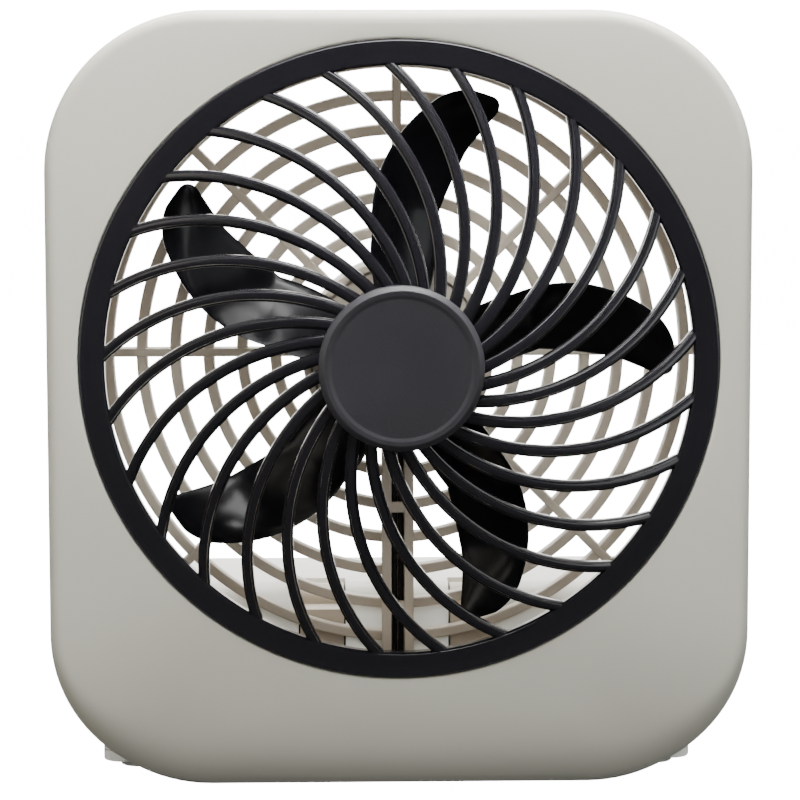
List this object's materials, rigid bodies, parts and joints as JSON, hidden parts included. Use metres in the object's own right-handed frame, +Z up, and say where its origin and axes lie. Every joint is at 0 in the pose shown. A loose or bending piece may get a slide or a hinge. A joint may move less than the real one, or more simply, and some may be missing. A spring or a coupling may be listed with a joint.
{
  "type": "battery desk fan",
  "caption": "Small battery desk fan: rounded-square head with a spiral front grille and sickle-blade impeller, hinged to a battery base that is also its foot.",
  "frame": {"origin": "on the table surface, under the middle of the bounding box", "axes": "+Z up, -Y the way the fan blows, +X to the right when the fan is seen from the front"},
  "size_m": [0.162, 0.094, 0.181],
  "materials": {
    "bezel_plastic": "satin moulded ABS, pale warm grey, lightly polished on the corners",
    "grille_black": "satin black moulded plastic",
    "badge_black": "fine textured black plastic, no mark",
    "impeller_black": "gloss black moulded plastic",
    "rear_plastic": "satin beige grey moulded plastic",
    "base_plastic": "satin pale grey moulded plastic",
    "knob_black": "satin black plastic with moulded ridges",
    "steel": "ground steel",
    "zinc": "bright zinc plated steel",
    "brass": "turned brass",
    "copper": "copper leaf and bars",
    "ferrite": "dull dark ferrite",
    "rubber": "matt black rubber",
    "cell_sleeve": "glossy printed-film sleeve, plain dark blue, no text",
    "wire_black": "black PVC insulation",
    "nylon": "natural nylon",
    "ceramic": "matt ceramic coating"
  },
  "bodies": {
    "base": {"base_shell": "base_plastic", "base_bottom": "base_plastic", "base_screw_front_left": "zinc", "base_screw_front_right": "zinc", "base_screw_rear_left": "zinc", "base_screw_rear_right": "zinc", "foot_front_left": "rubber", "foot_front_right": "rubber", "foot_rear_left": "rubber", "foot_rear_right": "rubber", "battery_left": "cell_sleeve", "battery_right": "cell_sleeve", "battery_spring": "zinc", "battery_contact_positive": "zinc", "battery_contact_negative": "zinc", "switch_body": "wire_black", "speed_resistor": "ceramic", "dc_jack": "wire_black", "hinge_pin": "steel", "wire_switch_to_resistor": "wire_black", "wire_resistor_to_hinge": "wire_black", "wire_spring_to_hinge": "wire_black"},
    "head": {"front_bezel": "bezel_plastic", "front_grille": "grille_black", "grille_badge": "badge_black", "rear_housing": "rear_plastic", "head_screw_top_left": "zinc", "head_screw_top_right": "zinc", "head_screw_bottom_left": "zinc", "head_screw_bottom_right": "zinc", "motor_can": "zinc", "motor_end_cap": "nylon", "motor_bushing_front": "brass", "motor_bushing_rear": "brass", "motor_magnet_left": "ferrite", "motor_magnet_right": "ferrite", "motor_brush_left": "copper", "motor_brush_right": "copper", "motor_terminal_left": "brass", "motor_terminal_right": "brass", "motor_retainer": "rear_plastic", "motor_screw_left": "zinc", "motor_screw_right": "zinc", "motor_wire_left": "wire_black", "motor_wire_right": "wire_black"},
    "fan_rotor": {"impeller": "impeller_black", "motor_shaft": "steel", "armature_core": "steel", "commutator": "copper"},
    "speed_knob": {"switch_knob": "knob_black"},
    "door": {"battery_door": "base_plastic"}
  },
  "joints": [
    {"name": "head_tilt", "type": "hinge", "parent": "base", "child": "head", "pos_m": [0, 0.006, 0.0398], "axis": [-1, 0, 0], "range_deg": [0, 45]},
    {"name": "impeller_spin", "type": "hinge", "parent": "head", "child": "fan_rotor", "pos_m": [0, -0.03, 0.101], "axis": [0, -1, 0], "continuous": true},
    {"name": "knob_slide", "type": "slide", "parent": "base", "child": "speed_knob", "axis": [0, 1, 0], "range_m": [-0.0025, 0.0025]},
    {"name": "door_slide", "type": "slide", "parent": "base", "child": "door", "axis": [0, 1, 0], "range_m": [0, 0.04]}
  ]
}
